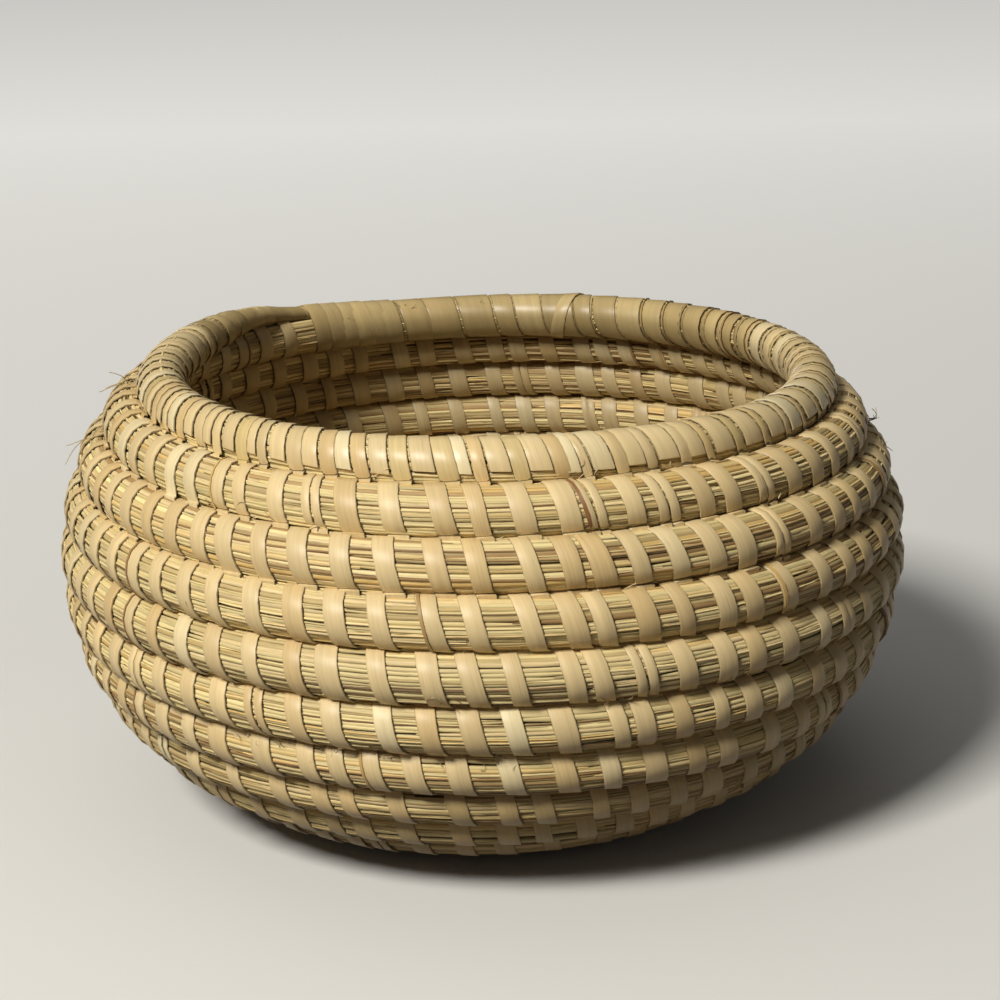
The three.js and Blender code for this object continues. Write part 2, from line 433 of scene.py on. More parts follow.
@dataclass
class StripPiece:
    """Bent copies of one blank, gathered into one mesh."""

    name: str
    bench: Bench
    smooth_degrees: float
    points: list[np.ndarray] = field(default_factory=list)
    tints: list[np.ndarray] = field(default_factory=list)
    fibres: list[np.ndarray] = field(default_factory=list)

    def add(self, strip: Strip) -> None:
        """Adds a strip, with its colour and its own stretch of the fibre pattern.

        Args:
            strip: the strip.
        """
        blank, rng = self.bench.blank, self.bench.rng
        points, along = strip.bent(blank, self.bench.coil)
        # Painted shade: the underside edges are darker than the face, and the face has a painted shadow line
        # along its edges.
        lit = np.clip(blank.height / FULL_COLOUR_HEIGHT, 0, 1)
        line = strip.edge_shadow * np.where(blank.across < 0, 1.0, FAR_EDGE)
        shade = strip.edge_shade + (1 - strip.edge_shade) * lit
        shade = shade * (1 - line * smoothstep(*EDGE_BAND, np.abs(blank.across)))
        tint = np.broadcast_to(strip.tint, (len(strip.turn), 3))[blank.station]
        across = blank.across * strip.width[blank.station] / 2
        own = rng.uniform(0, PATTERN_LENGTH)
        self.points.append(points)
        self.tints.append(tint * shade[:, None])
        depth = np.full(len(along), rng.uniform())
        self.fibres.append(np.stack([along + own, across + own, depth], axis=-1))

    def write(self) -> bpy.types.Object:
        """Writes the mesh, with the attributes that its material reads, and links it.

        Returns:
            The piece.
        """
        blank, count = self.bench.blank, len(self.points)
        copies = np.arange(count)[:, None]
        points = np.concatenate(self.points) * MM
        mesh = bpy.data.meshes.new(self.name)
        mesh.vertices.add(len(points))
        mesh.loops.add(count * len(blank.loops))
        mesh.polygons.add(count * len(blank.starts))
        mesh.vertices.foreach_set("co", points.astype(np.float32).ravel())
        loops = (blank.loops[None] + copies * len(blank.station)).ravel()
        mesh.loops.foreach_set("vertex_index", loops.astype(np.int32))
        starts = (blank.starts[None] + copies * len(blank.loops)).ravel()
        mesh.polygons.foreach_set("loop_start", starts.astype(np.int32))
        mesh.update(calc_edges=True)
        tint = mesh.attributes.new("tint", "FLOAT_COLOR", "POINT")
        colour = np.concatenate([np.concatenate(self.tints), np.ones((len(points), 1))], axis=1)
        tint.data.foreach_set("color", colour.astype(np.float32).ravel())
        fibre = mesh.attributes.new("fibre", "FLOAT_VECTOR", "POINT")
        fibre.data.foreach_set("vector", np.concatenate(self.fibres).astype(np.float32).ravel())
        mesh.uv_layers.new(name="OFBake").uv.foreach_set("vector", self._cells().astype(np.float32).ravel())
        mesh.materials.append(self.bench.material)
        piece = bpy.data.objects.new(self.name, mesh)
        link_active(piece)
        bpy.ops.object.shade_smooth_by_angle(angle=math.radians(self.smooth_degrees))
        deselect()
        return piece

    def _cells(self) -> np.ndarray:
        """Lays the copies out side by side on the texture, each in a cell of its own.

        Returns:
            Texture places, one for each face corner.
        """
        count = len(self.points)
        length, width = np.mean([np.ptp(fibre[:, :2], axis=0) for fibre in self.fibres], axis=0)
        columns = max(1, round(math.sqrt(count * GIRTH * width / length)))
        rows = math.ceil(count / columns)
        cell = np.stack([np.arange(count) // rows, np.arange(count) % rows], axis=-1)
        inset = CELL_MARGIN + (1 - 2 * CELL_MARGIN) * self.bench.blank.loop_uv
        return ((cell[:, None] + inset[None]) / np.array([columns, rows])).reshape(-1, 2)


def write_pieces(made: Mapping[str, StripPiece]) -> list[bpy.types.Object]:
    """Writes pieces that take the place of CAD nodes.

    Args:
        made: each piece, by the name of the node that it replaces.

    Returns:
        The pieces.
    """
    pieces = []
    for node, strips in made.items():
        piece = strips.write()
        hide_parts(node)
        pieces.append(piece)
    return pieces


@dataclass(frozen=True)
class Graph:
    """Shorthand for adding nodes to a tree and joining them."""

    tree: bpy.types.NodeTree

    def feed(self, node: bpy.types.Node, inputs: Mapping[str | int, object]) -> None:
        """Sets inputs of a node.

        Args:
            node: the node.
            inputs: what goes into each, by name or index: a socket is linked, another value is written.
        """
        for key, value in inputs.items():
            if isinstance(value, bpy.types.NodeSocket):
                self.tree.links.new(value, node.inputs[key])
            else:
                node.inputs[key].default_value = value

    def add(self, kind: str, inputs: Mapping[str | int, object], **options: object) -> bpy.types.Node:
        """Adds a node.

        Args:
            kind: its type.
            inputs: what goes into each of its inputs, by name or index.
            options: its own settings, made before its inputs are.

        Returns:
            The node.
        """
        node = self.tree.nodes.new(kind)
        for option, value in options.items():
            setattr(node, option, value)
        self.feed(node, inputs)
        return node

    def sum(self, operation: str, first: object, second: object) -> bpy.types.NodeSocket:
        """Works out a sum of two values, each a socket or a number."""
        return self.add("ShaderNodeMath", {0: first, 1: second}, operation=operation).outputs[0]


def new_material(name: str) -> tuple[bpy.types.Material, Graph, bpy.types.Node]:
    """Starts a material.

    Args:
        name: its name.

    Returns:
        The material, its nodes and its shader.
    """
    material = bpy.data.materials.new(name)
    material.use_nodes = True
    return material, Graph(material.node_tree), material.node_tree.nodes["Principled BSDF"]


@dataclass(frozen=True)
class Grain:
    """The lines, streaks and flecks of a dry fibre, drawn by one node group that the finishes share."""

    name: str = "fibre_grain"
    line_detail: float = 2.0
    streak: Span = (0.35, 0.22)  # scale along and across, beside the lines
    fleck: Span = (2.2, 0.5)
    broad_detail: float = 1.0  # of streaks and flecks
    fleck_limit: float = 0.13  # above which a fleck shows
    least_light: float = 0.1  # of its colour that the darkest line keeps

    def group(self) -> bpy.types.NodeTree:
        """Makes the group, or finds it again.

        Returns:
            The node group.
        """
        if self.name in bpy.data.node_groups:
            return bpy.data.node_groups[self.name]
        group = bpy.data.node_groups.new(self.name, "ShaderNodeTree")
        contrasts = [f"{kind} contrast" for kind in ("Line", "Streak", "Fleck")]
        numbers = dict.fromkeys(["Across", "Along", *contrasts], "Float")
        for label, kind in ({"Fibre": "Vector", "Tint": "Color"} | numbers).items():
            group.interface.new_socket(label, in_out="INPUT", socket_type=f"NodeSocket{kind}")
        for label, kind in {"Color": "Color", "Height": "Float"}.items():
            group.interface.new_socket(label, in_out="OUTPUT", socket_type=f"NodeSocket{kind}")
        graph = Graph(group)
        given = graph.add("NodeGroupInput", {}).outputs
        split = graph.add("ShaderNodeSeparateXYZ", {0: given["Fibre"]}).outputs
        ways = enumerate(("Along", "Across"))
        place = [graph.sum("MULTIPLY", split[axis], given[way]) for axis, way in ways]
        lines = self._noise(graph, place, split[2], self.line_detail)
        streaks, flecks = (
            self._noise(graph, [graph.sum("MULTIPLY", way, share) for way, share in zip(place, scale)],
                        split[2], self.broad_detail)
            for scale in (self.streak, self.fleck)
        )
        dark = graph.sum("MAXIMUM", graph.sum("SUBTRACT", flecks, self.fleck_limit), 0.0)
        shown = zip((lines, streaks, dark), contrasts)
        parts = [graph.sum("MULTIPLY", part, given[label]) for part, label in shown]
        change = graph.sum("SUBTRACT", graph.sum("ADD", parts[0], parts[1]), parts[2])
        light = graph.sum("MAXIMUM", graph.sum("ADD", change, 1.0), self.least_light)
        scaled = graph.add("ShaderNodeVectorMath", {0: given["Tint"], "Scale": light}, operation="SCALE")
        graph.add("NodeGroupOutput", {"Color": scaled.outputs[0], "Height": lines})
        return group

    @staticmethod
    def _noise(graph: Graph, place: Sequence[bpy.types.NodeSocket], own: bpy.types.NodeSocket,
               detail: float) -> bpy.types.NodeSocket:
        """Noise stretched along the fibre.

        Args:
            graph: the nodes that it is added to.
            place: place along and across the fibre.
            own: the strip's own part of the pattern.
            detail: how fine the noise is.

        Returns:
            The noise, about 0.
        """
        vector = graph.add("ShaderNodeCombineXYZ", {0: place[0], 1: place[1], 2: own}).outputs[0]
        texture = graph.add("ShaderNodeTexNoise", {"Vector": vector, "Scale": 1.0, "Detail": detail})
        return graph.sum("SUBTRACT", texture.outputs["Fac"], 0.5)


@dataclass(frozen=True)
class FibreFinish:
    """A dry plant fibre: coloured by its strip, with lines along it."""

    name: str
    roughness: float
    specular: float
    line_width: float  # across the strip
    line_length: float  # along it
    line_contrast: float
    streak_contrast: float
    fleck_contrast: float
    relief: float  # depth of the lines

    def material(self) -> bpy.types.Material:
        """Builds the material.

        Returns:
            The material.
        """
        material, graph, shader = new_material(self.name)
        tint = graph.add("ShaderNodeAttribute", {}, attribute_name="tint")
        fibre = graph.add("ShaderNodeAttribute", {}, attribute_name="fibre")
        grain = graph.add("ShaderNodeGroup", {
            "Fibre": fibre.outputs["Vector"],
            "Tint": tint.outputs["Color"],
            "Across": 1 / self.line_width,
            "Along": 1 / self.line_length,
            "Line contrast": self.line_contrast,
            "Streak contrast": self.streak_contrast,
            "Fleck contrast": self.fleck_contrast,
        }, node_tree=Grain().group()).outputs
        bump = graph.add("ShaderNodeBump", {
            "Height": grain["Height"],
            "Strength": 1.0,
            "Distance": self.relief * MM,
        })
        graph.feed(shader, {
            "Base Color": grain["Color"],
            "Normal": bump.outputs["Normal"],
            "Roughness": self.roughness,
            "Specular IOR Level": self.specular,
        })
        return material


class Shade(Enum):
    """Colours of dry needle and leaf."""

    STRAW = (226, 206, 148)
    CREAM = (232, 214, 168)
    LEAF = (222, 197, 146)
    WARM = (212, 183, 129)
    TAN = (209, 185, 127)
    DULL = (196, 172, 120)
    GREY = (200, 185, 148)
    GOLD = (213, 178, 110)
    OLIVE = (178, 154, 104)
    BROWN = (158, 124, 78)
    RUST = (140, 96, 55)
    # painted shade of the needles inside the bundle
    SHADED_CORE = (126, 97, 60)
    DARK = (112, 84, 50)

    @property
    def light(self) -> np.ndarray:
        """The colour as linear light."""
        return linear(*self.value)


@dataclass(frozen=True)
class Mix:
    """Shades with the share that each of them has."""

    shares: tuple[tuple[Shade, float], ...]
    spread: float = 0.10  # of one strip's brightness
    most_blend: float = 0.45  # of a second shade with the first

    def pick(self, rng: np.random.Generator) -> np.ndarray:
        """A strip's colour, part of the way between two shades of the mix.

        Args:
            rng: source of the choice.

        Returns:
            The colour as linear light.
        """
        weights = np.array([share for _, share in self.shares])
        first, second = rng.choice(len(weights), size=2, p=weights / weights.sum())
        blend = rng.uniform(0, self.most_blend)
        colour = self.shares[first][0].light * (1 - blend) + self.shares[second][0].light * blend
        return colour * math.exp(rng.normal(0, self.spread))


@dataclass(frozen=True)
class NeedleBundle:
    """The coil's needles: a core painted dark as shade, and the needles that show lying round it in lanes.
    """

    lanes: int = 33
    lane_scatter: float = 0.12  # of a needle's place, in lanes
    lead: float = 0.2  # turns before the heart over which the lanes' first needles start
    ragged_end: float = 0.012  # turns before the coil's end over which the last ones stop
    end_room: float = 0.02  # turns before it in which no other needle starts
    seat: float = -0.34  # lift of a needle's underside
    unevenness: float = 0.09  # of the lift, from needle to needle
    length: Span = (90.0, 190.0)
    most_bend: float = 1.9  # of a needle round the basket, in radians
    overlap: float = 4.0  # of a needle with the next one in its lane
    width: Span = (1.15, 1.7)
    thickness: Span = (0.38, 0.56)
    taper: float = 12.0
    point: float = 0.12  # share of the taper that its blunt point stands for
    point_curve: float = 0.6
    point_sink: float = 0.4
    wander: float = 0.03  # to and fro about the bundle, in radians
    wander_waves: Span = (3.0, 9.0)  # in radians along a needle
    wander_phase: float = 6.0
    slant: float = 0.03  # about the bundle, from end to end, in radians
    # painted shade of a needle's underside edges, for the dark gaps between needles
    edge_shade: float = 0.42
    smooth_degrees: float = 75.0
    crossing_share: float = 0.5  # of needles with a finer one lying across them
    crossing_width: float = 0.6
    crossing_spread: Span = (0.7, 1.3)  # of that width
    crossing_lift: float = 0.22  # over the needle under it
    crossing_drift: float = 0.24  # in radians about the bundle
    shaded_share: float = 0.24  # of the finer needles that are dark
    dark_share: float = 0.06
    dark_below: float = 0.6  # added from some rows below the belly down: partly wear, partly painted shade
    below_rows: float = 2.6
    dark_right: float = 0.7  # added at the right, from the belly up
    right_side: Span = (285.0, 30.0)  # azimuths seen from above, in degrees
    dark_inside: float = 0.6  # added inside the basket, as painted shade
    inside_cosine: float = -0.2
    golden_share: float = 0.06
    golden_top: float = 0.7  # in its place, on top of the round under the rim, at the front
    golden_side: Span = (250.0, 330.0)
    golden_angles: Span = (0.3, 1.3)
    golden_past: float = 0.1  # turns past the rim's start
    pale: Mix = Mix((
        (Shade.STRAW, 5), (Shade.LEAF, 3), (Shade.TAN, 2), (Shade.GOLD, 0.7), (Shade.OLIVE, 0.3),
    ), 0.08)
    golden: Mix = Mix(((Shade.GOLD, 4), (Shade.TAN, 2), (Shade.STRAW, 3), (Shade.BROWN, 0.3)), 0.08)
    dark: Mix = Mix((
        (Shade.OLIVE, 3), (Shade.TAN, 3), (Shade.BROWN, 2), (Shade.DULL, 2), (Shade.DARK, 0.3),
    ))
    shaded: Mix = Mix(((Shade.DARK, 2), (Shade.BROWN, 2), (Shade.OLIVE, 1)))
    core_sink: float = 0.3
    core_stations: int = 48  # a round
    core_resolution: int = 2
    core_roughness: float = 0.9

    def build(self, bench: Bench) -> list[bpy.types.Object]:
        """Builds one piece for each round of the coil, and the core.

        Args:
            bench: what the needles are made with.

        Returns:
            The pieces.
        """
        coil = bench.coil
        rounds = {
            f"coil_round_{number:02d}": StripPiece(f"needles_round_{number:02d}", bench, self.smooth_degrees)
            for number in range(1, coil.round_count + 1)
        }
        for lane in range(self.lanes):
            turn = coil.heart - bench.rng.uniform(0, self.lead)
            while turn < coil.rounds:
                turn = self._lay(bench, list(rounds.values()), lane, turn)
        return [*write_pieces(rounds), self._core(coil)]

    def _lay(self, bench: Bench, rounds: Sequence[StripPiece], lane: int, turn: float) -> float:
        """Lays the next needle of a lane.

        Args:
            bench: what it is made with.
            rounds: the piece of each round.
            lane: the lane.
            turn: turn at which the needle starts.

        Returns:
            The turn at which the one after it starts.
        """
        coil, rng = bench.coil, bench.rng
        near = max(turn, 0.0)
        length = min(rng.uniform(*self.length), self.most_bend * coil.face_radius(near))
        end = min(turn + coil.turns_in(length, near), coil.rounds - rng.uniform(0, self.ragged_end))
        turns = np.linspace(max(turn, coil.heart), end, bench.stations)
        angle = (lane + 0.5 + rng.normal(0, self.lane_scatter)) * CIRCLE / self.lanes
        piece = rounds[coil.round_of((turns[0] + end) / 2)]
        width = rng.uniform(*self.width)
        lift = self.seat + rng.normal(0, self.unevenness)
        piece.add(self._needle(bench, turns, angle, width, lift))
        if rng.uniform() < self.crossing_share:
            width = self.crossing_width * rng.uniform(*self.crossing_spread)
            finer = self._needle(bench, turns, angle, width, lift + self.crossing_lift)
            drift = np.linspace(-0.5, 0.5, bench.stations) * rng.normal(0, self.crossing_drift)
            finer.angle = finer.angle + drift
            if rng.uniform() < self.shaded_share:
                finer.tint = self.shaded.pick(rng)
            piece.add(finer)
        return end - coil.turns_in(self.overlap, near) if end < coil.rounds - self.end_room else coil.rounds

    def _needle(self, bench: Bench, turns: np.ndarray, angle: float, width: float, lift: float) -> Strip:
        """One needle, pointed at both ends.

        Args:
            bench: what it is made with.
            turns: turns of its stations.
            angle: its place about the bundle.
            width: its width away from its ends.
            lift: lift of its underside.

        Returns:
            The needle.
        """
        coil, rng = bench.coil, bench.rng
        share = np.linspace(0, 1, len(turns))
        middle = (turns[0] + turns[-1]) / 2
        length = (turns[-1] - turns[0]) * CIRCLE * coil.face_radius(middle)
        taper = min(self.taper, length / 3)
        slim = np.clip(np.minimum(share, 1 - share) * length / taper, self.point, 1) ** self.point_curve
        waves = np.sin(share * rng.uniform(*self.wander_waves) + rng.uniform(0, self.wander_phase))
        return Strip(
            lie=Lie.ALONG,
            turn=turns,
            angle=angle + (self.wander * waves + rng.normal(0, self.slant) * (share - 0.5)),
            lift=lift - self.point_sink * (1 - slim),
            width=width * slim,
            thickness=rng.uniform(*self.thickness),
            tint=self._mix(bench, middle, angle).pick(rng),
            edge_shade=self.edge_shade,
        )

    def _mix(self, bench: Bench, turn: float, angle: float) -> Mix:
        """Chooses a mix by where on the basket a needle lies.

        Args:
            bench: what the needle is made with.
            turn: turn of its middle.
            angle: its place about the bundle.

        Returns:
            The mix that its colour is picked from.
        """
        coil, azimuth = bench.coil, bench.coil.degrees(turn)
        right = self.right_side[0] < azimuth or azimuth < self.right_side[1]
        dark = (
            self.dark_share
            + self.dark_below * (turn < coil.belly_turn - self.below_rows)
            + self.dark_right * (right and turn > coil.belly_turn)
            + self.dark_inside * (math.cos(angle) < self.inside_cosine)
        )
        under_rim = coil.rim_start - 1 < turn < coil.rim_start + self.golden_past
        in_front = self.golden_side[0] < azimuth < self.golden_side[1]
        on_top = self.golden_angles[0] < angle < self.golden_angles[1]
        golden = self.golden_top if under_rim and in_front and on_top else self.golden_share
        draw = bench.rng.uniform()
        if draw < golden:
            return self.golden
        return self.dark if draw < golden + dark else self.pale

    def _core(self, coil: CoilLine) -> bpy.types.Object:
        """The shadowed inside of the bundle, as a tube that follows the coil and is painted dark as shade.

        Args:
            coil: the line of the bundle.

        Returns:
            The core.
        """
        turns = np.linspace(coil.heart, coil.rounds, self.core_stations * coil.round_count)
        faces = [coil.place(turns, np.full_like(turns, a), np.zeros_like(turns)) for a in (0, math.pi)]
        middle = (faces[0] + faces[1]) / 2 * MM
        curve = bpy.data.curves.new("shaded_needle_core", "CURVE")
        curve.dimensions = "3D"
        curve.bevel_depth = MM
        curve.bevel_resolution = self.core_resolution
        curve.use_fill_caps = True
        spline = curve.splines.new("POLY")
        spline.points.add(len(turns) - 1)
        spline.points.foreach_set("co", np.concatenate([middle, np.ones((len(turns), 1))], axis=1).ravel())
        spline.points.foreach_set("radius", coil.bundle(turns) - self.core_sink)
        core = bpy.data.objects.new("shaded_needle_core", curve)
        link_active(core)
        bpy.ops.object.convert(target="MESH")
        bpy.ops.object.shade_smooth()
        deselect()
        material, graph, shader = new_material("shaded_needle_core")
        graph.feed(shader, {"Base Color": opaque(Shade.SHADED_CORE.value), "Roughness": self.core_roughness})
        core.data.materials.clear()
        core.data.materials.append(material)
        return core


@dataclass(frozen=True)
class Stitching:
    """The splints that sew each round of the coil to the round before it.

    A stitch has three runs of stations: its start, its way over the outside and down the inside, its end.
    """

    width: float = 5.25
    width_spread: float = 0.5
    width_limits: Span = (4.2, 6.9)
    width_share: float = 0.45  # of the distance from the basket's axis, at most
    width_noise: float = 0.022  # along a stitch
    thickness: float = 0.48
    thickness_spread: Span = (0.85, 1.1)
    seat: float = 0.26  # lift of a splint's underside
    seat_noise: float = 0.03
    lean: float = 4.1  # along the coil, over half of the bundle
    lean_spread: Span = (0.85, 1.15)
    lower_lean: float = 0.9  # share of the lean that stitches have well below the belly
    added_lean: float = 0.1  # share that is added towards the belly
    lean_rows: Span = (-2.0, 0.5)  # rows from the belly over which it is
    tilt: float = 0.12
    # painted shadow line along a splint's edges, and painted shade of its underside edges
    edge_shadow: float = 0.35
    edge_shade: float = 0.3
    smooth_degrees: float = 50.0
    least_spacing: float = 8.4  # at the middle of the base
    most_spacing: float = 10.9
    spacing_radii: Span = (12.0, 80.0)  # between which the spacing grows
    spacing_spread: Span = (0.95, 1.05)
    upper_count: float = 69.5  # a round, from the belly up
    first_turn: float = 0.10
    snap: float = 0.35  # share of the spacing within which a stitch follows the one below it
    snap_room: float = 0.55  # share of it that is kept from the stitch before
    snap_noise: float = 0.05
    groove: Triple = (-84.0, -78.0, -70.0)  # its start under the round, in degrees about the bundle
    groove_lift: Triple = (-1.2, -0.2, 0.2)
    groove_over: float = -62.0  # where the way over starts, in degrees
    tab_rows: float = 2.0  # rows under the rim whose stitches start on the round below them
    tab_rows_noise: float = 0.15
    tab: float = 76.0  # place of that start on the round below, in degrees
    tab_noise: float = 3.0
    tab_bend: Triple = (-0.15, -0.13, 0.0)  # of its square end, in radians
    tab_lift: Triple = (-1.0, 0.45, 0.5)
    tab_over: float = -56.0
    start_offset: Triple = (-1.0, -0.95, -0.6)  # along the coil
    over_end: float = 244.0
    end: Span = (253.0, 262.0)  # in the groove on the inside, in degrees
    end_offset: Span = (0.4, 0.6)
    end_lift: Span = (0.15, -1.2)
    inner_shade: float = 0.3  # painted shade: how much darker the splints are inside the basket
    inner_cosines: Span = (-0.2, 0.6)  # between which the painted shade sets in
    split_share: float = 0.08
    split_width: float = 0.47  # of each half
    split_offset: float = 0.27  # of a half from the middle, in widths
    edged_share: float = 0.05  # of stitches with a brown strip along one edge
    strip_width: float = 0.17
    strip_offset: float = 0.42
    strip_lift: float = 0.14
    fresh_rows: float = 3.0  # rows below the belly from which the splints are fresh; below them they are worn and painted darker as shade
    fresh: Mix = Mix(((Shade.LEAF, 5), (Shade.CREAM, 0.7), (Shade.WARM, 2)), 0.035)
    # darker partly from wear and partly as painted shade
    worn_and_shaded: Mix = Mix(((Shade.LEAF, 0.5), (Shade.WARM, 2), (Shade.DULL, 3), (Shade.OLIVE, 2.2)), 0.05)
    edged: Mix = Mix(((Shade.RUST, 1), (Shade.BROWN, 3), (Shade.GOLD, 1)))

    def step(self, coil: CoilLine, turn: float) -> float:
        """Spacing of the stitches.

        Args:
            coil: the line that they are wound on.
            turn: turn of the coil.

        Returns:
            The spacing there, as a share of a round.
        """
        radius = coil.face_radius(turn)
        share = float(smoothstep(*self.spacing_radii, np.array(radius)))
        count = CIRCLE * radius / (self.least_spacing + (self.most_spacing - self.least_spacing) * share)
        return 1 / (self.upper_count if turn > coil.belly_turn else min(count, self.upper_count))

    def turns(self, coil: CoilLine, last: float, rng: np.random.Generator) -> np.ndarray:
        """Turns at which stitches come out under their round.

        Args:
            coil: the line that they are wound on.
            last: turn before which the last stitch starts.
            rng: source of the stitches' differences.

        Returns:
            Rising turns. Where the counts allow, each is a round after one below it.
        """
        found = [self.first_turn]
        while found[-1] < last:
            step = self.step(coil, found[-1])
            target = found[-1] + step * rng.uniform(*self.spacing_spread)
            guides = np.array(found) + 1
            near = guides[np.argmin(np.abs(guides - target))]
            if abs(near - target) < self.snap * step and near > found[-1] + self.snap_room * step:
                target = near + rng.normal(0, self.snap_noise) * step
            found.append(target)
        return np.array(found[:-1])

    def strip(self, bench: Bench, turn: float, width: float, tint: np.ndarray) -> Strip:
        """One stitch: out of the groove under its round, up over the outside and down the inside.

        Near the rim it starts on the round below, with a short square end.

        Args:
            bench: what it is made with.
            turn: turn at which it comes out.
            width: its width.
            tint: its colour.

        Returns:
            The stitch.
        """
        coil, rng = bench.coil, bench.rng
        low, high = (coil.belly_turn + rows for rows in self.lean_rows)
        upper = float(smoothstep(low, high, np.array(turn)))
        tabbed = turn > coil.rim_start - self.tab_rows + rng.normal(0, self.tab_rows_noise)
        lean = self.lean * (self.lower_lean + self.added_lean * upper) * rng.uniform(*self.lean_spread)
        before = len(self.start_offset)
        own = bench.stations - before - len(self.end_offset)
        start, start_lift, over = np.radians(self.groove), self.groove_lift, self.groove_over
        if tabbed:
            start = math.radians(self.tab + rng.normal(0, self.tab_noise)) + np.array(self.tab_bend)
            start_lift, over = self.tab_lift, self.tab_over
        ways = [self.start_offset, np.linspace(0, 2 * lean, own), 2 * lean + np.array(self.end_offset)]
        turns = turn + coil.turns_in(np.concatenate(ways), turn)
        turns[:before] -= tabbed
        lift = self.seat + rng.normal(0, self.seat_noise, own)
        angles = np.radians(np.concatenate([np.linspace(over, self.over_end, own), self.end]))
        angles = np.concatenate([start, angles])
        # painted shade on the splints where they face the inside of the basket
        inside = smoothstep(*self.inner_cosines, -np.cos(angles))
        return Strip(
            lie=Lie.ROUND,
            turn=np.maximum(turns, 0.0),
            angle=angles,
            lift=np.concatenate([start_lift, lift, self.end_lift]),
            width=width * (1 + rng.normal(0, self.width_noise, bench.stations)),
            thickness=self.thickness * rng.uniform(*self.thickness_spread),
            tint=tint * (1 - self.inner_shade * inside)[:, None],
            edge_shade=self.edge_shade,
            tilt=self.tilt,
            edge_shadow=self.edge_shadow,
        )

    def node(self, coil: CoilLine, turn: float) -> str:
        """The CAD splint that a stitch belongs to.

        Args:
            coil: the line that the stitch is wound on.
            turn: turn at which it comes out.

        Returns:
            The name of the splint's node.
        """
        base_rounds = math.ceil((coil.base_radius - coil.start) / coil.pitch)
        index = min(coil.round_of(turn), coil.round_count - 2)
        if index < base_rounds:
            return f"base_splint_{index + 1:02d}"
        return f"wall_splint_{index + 1 - base_rounds:02d}"

    def build(self, bench: Bench, turns: np.ndarray) -> list[bpy.types.Object]:
        """Builds one piece for each CAD splint.

        Args:
            bench: what the stitches are made with.
            turns: turns at which they come out.

        Returns:
            The pieces.
        """
        coil, rng = bench.coil, bench.rng
        sewn: dict[str, StripPiece] = {}
        for turn in turns:
            node = self.node(coil, turn)
            piece = sewn.setdefault(node, StripPiece(f"{node}_stitches", bench, self.smooth_degrees))
            width = float(np.clip(rng.normal(self.width, self.width_spread), *self.width_limits))
            width = min(width, self.width_share * coil.face_radius(turn))
            tint = (self.fresh if turn > coil.belly_turn - self.fresh_rows else self.worn_and_shaded).pick(rng)
            if rng.uniform() < self.split_share:
                for side in (-self.split_offset, self.split_offset):
                    place = turn + coil.turns_in(side * width, turn)
                    piece.add(self.strip(bench, place, self.split_width * width, tint))
            else:
                piece.add(self.strip(bench, turn, width, tint))
            if rng.uniform() < self.edged_share:
                place = turn + coil.turns_in(self.strip_offset * width, turn)
                edge = self.strip(bench, place, self.strip_width * width, self.edged.pick(rng))
                edge.lift = edge.lift + self.strip_lift
                piece.add(edge)
        return write_pieces(sewn)


class WrapKind(Enum):
    """Kinds of wrap on the rim."""

    SHORT = "round the rim alone"
    LONG = "round the rim and into the round below"


@dataclass(frozen=True)
class RoundRim:
    """A value that changes round the rim, evenly from each azimuth to the next."""

    azimuths: tuple[float, ...]  # seen from above, in degrees
    values: tuple[float, ...]

    def at(self, azimuth: float) -> float:
        """The value at an azimuth in degrees."""
        return float(np.interp(azimuth, self.azimuths, self.values))


